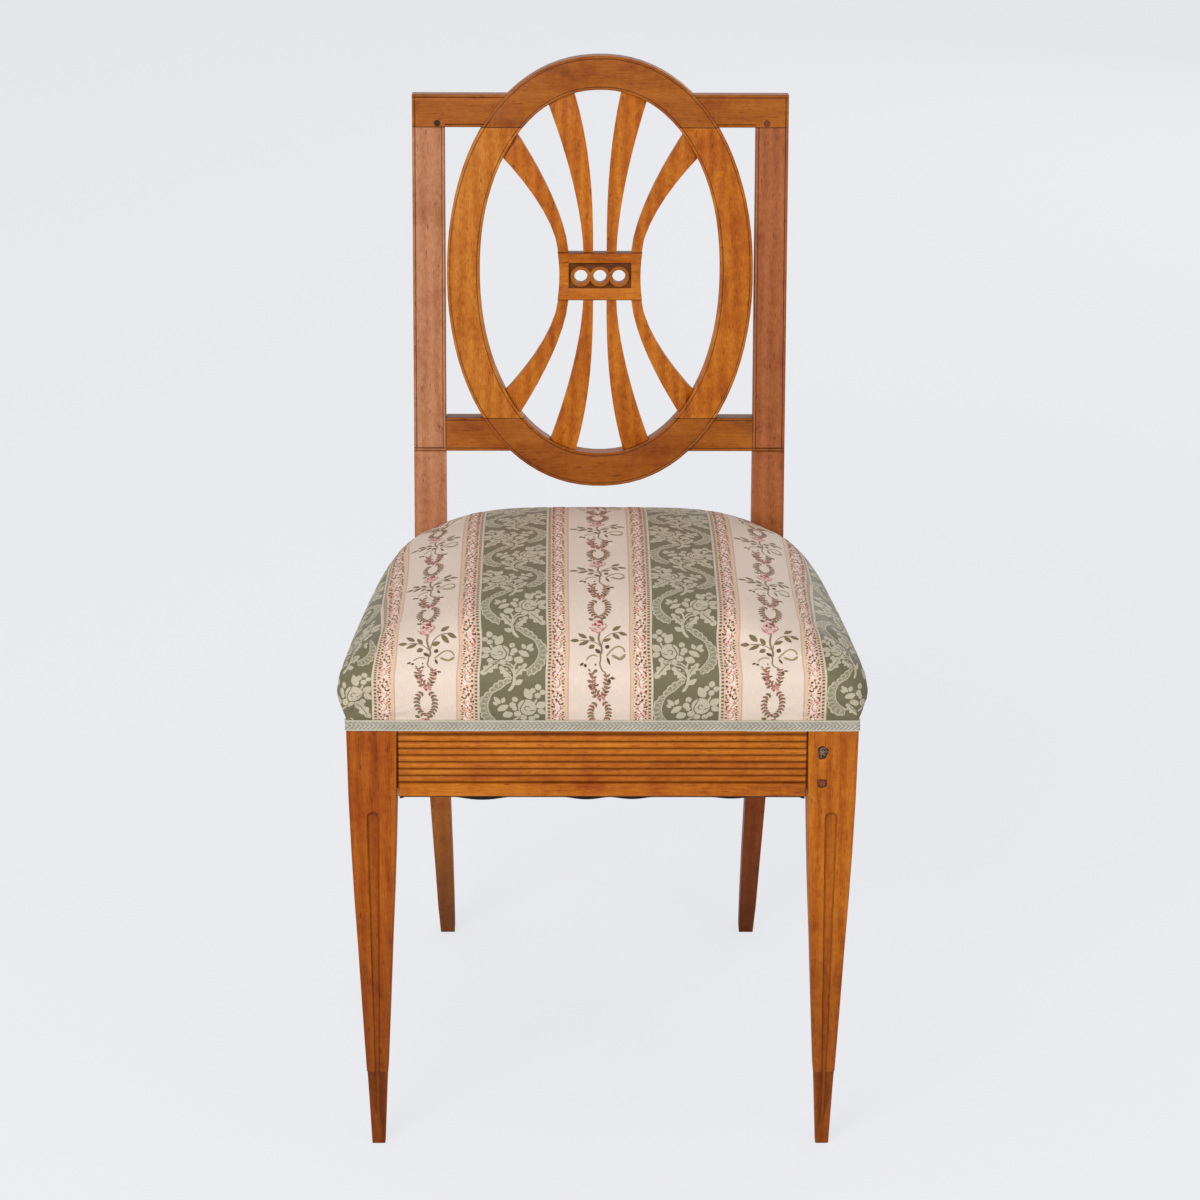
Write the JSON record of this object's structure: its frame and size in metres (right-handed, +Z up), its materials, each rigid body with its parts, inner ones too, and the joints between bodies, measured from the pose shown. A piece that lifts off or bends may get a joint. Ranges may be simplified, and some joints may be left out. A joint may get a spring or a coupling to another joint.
{
  "type": "oval back dining chair",
  "caption": "Wooden dining chair with an oval set in a square open back, flared splats, a stuffed seat in striped fabric, a reeded front rail and tapered fluted front legs.",
  "frame": {"origin": "on the floor, under the middle of the chair's bounding box", "axes": "+Z up, +Y from the front of the seat to its back, +X to the right as seen from the front"},
  "size_m": [0.4692, 0.4956, 0.8992],
  "materials": {
    "fruitwood": "polished amber fruitwood, worn and lightly figured",
    "stile_wood": "polished fruitwood, a little redder and darker",
    "frame_wood": "plain wood of the seat frame, unpolished or thinly polished",
    "dark_peg": "end grain of old pegs, dark",
    "webbing": "woven jute webbing",
    "hessian": "open woven hessian",
    "stuffing": "curled hair under cotton wadding",
    "striped_damask": "woven stripes of sage damask and floral cream",
    "gimp_braid": "pale grey-green plaited gimp braid",
    "dust_cloth": "thin black bottoming cloth"
  },
  "bodies": {
    "root": {"front_leg_right": "fruitwood", "front_leg_left": "fruitwood", "front_rail": "fruitwood", "side_rail_right": "fruitwood", "side_rail_left": "fruitwood", "crest_rail": "fruitwood", "lower_back_rail": "fruitwood", "oval_side_left": "fruitwood", "oval_side_right": "fruitwood", "splat_plaque": "fruitwood", "splat_upper_inner_left": "fruitwood", "splat_upper_inner_right": "fruitwood", "splat_upper_outer_left": "fruitwood", "splat_upper_outer_right": "fruitwood", "splat_lower_inner_left": "fruitwood", "splat_lower_inner_right": "fruitwood", "splat_lower_outer_left": "fruitwood", "splat_lower_outer_right": "fruitwood", "lower_rail_peg_left": "fruitwood", "lower_rail_peg_right": "fruitwood", "rear_leg_right": "stile_wood", "rear_leg_left": "stile_wood", "rear_rail": "frame_wood", "corner_block_front_right": "frame_wood", "corner_block_front_left": "frame_wood", "corner_block_rear_right": "frame_wood", "corner_block_rear_left": "frame_wood", "front_leg_peg_upper": "dark_peg", "front_leg_peg_lower": "dark_peg", "crest_peg_left": "dark_peg", "crest_peg_right": "dark_peg", "webbing_long_left": "webbing", "webbing_long_middle": "webbing", "webbing_long_right": "webbing", "webbing_cross_front": "webbing", "webbing_cross_middle": "webbing", "webbing_cross_rear": "webbing", "seat_hessian": "hessian", "seat_stuffing": "stuffing", "seat_cover": "striped_damask", "braid_front_and_sides": "gimp_braid", "braid_back": "gimp_braid", "dust_cover": "dust_cloth"}
  },
  "joints": []
}
